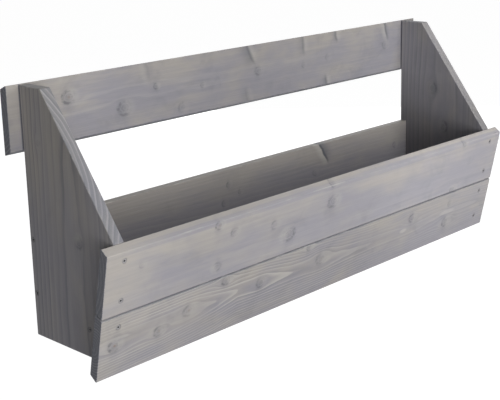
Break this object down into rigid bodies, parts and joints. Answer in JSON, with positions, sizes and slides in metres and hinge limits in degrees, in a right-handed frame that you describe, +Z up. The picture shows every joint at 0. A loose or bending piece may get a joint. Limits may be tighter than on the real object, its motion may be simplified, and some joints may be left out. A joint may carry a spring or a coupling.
{
  "type": "fence planter",
  "caption": "Long wooden plant trough that hangs on a fence by its top rail, with sloping side panels and a leaning front of two bevelled boards.",
  "frame": {"origin": "middle of the hanging rail's back face, where the planter meets the fence", "axes": "+X along the planter, +Y towards the fence, -Y towards the viewer in front, +Z up"},
  "size_m": [0.95, 0.2167, 0.3899],
  "materials": {
    "front_boards": "grey translucent stain on planed spruce",
    "rail": "grey translucent stain on planed spruce, a little darker",
    "side_panels": "grey translucent stain on planed spruce, upright grain",
    "inner_boards": "grey translucent stain on planed spruce",
    "screws": "dull plated steel"
  },
  "bodies": {
    "root": {"side_panel_left": "side_panels", "side_panel_right": "side_panels", "hanging_rail": "rail", "front_board_upper": "front_boards", "front_board_lower": "front_boards", "back_board": "inner_boards", "floor_board": "inner_boards", "rail_screws": "screws", "front_upper_screws": "screws", "front_lower_screws": "screws", "back_board_screws": "screws", "floor_side_screws": "screws", "floor_back_screws": "screws"}
  },
  "joints": []
}
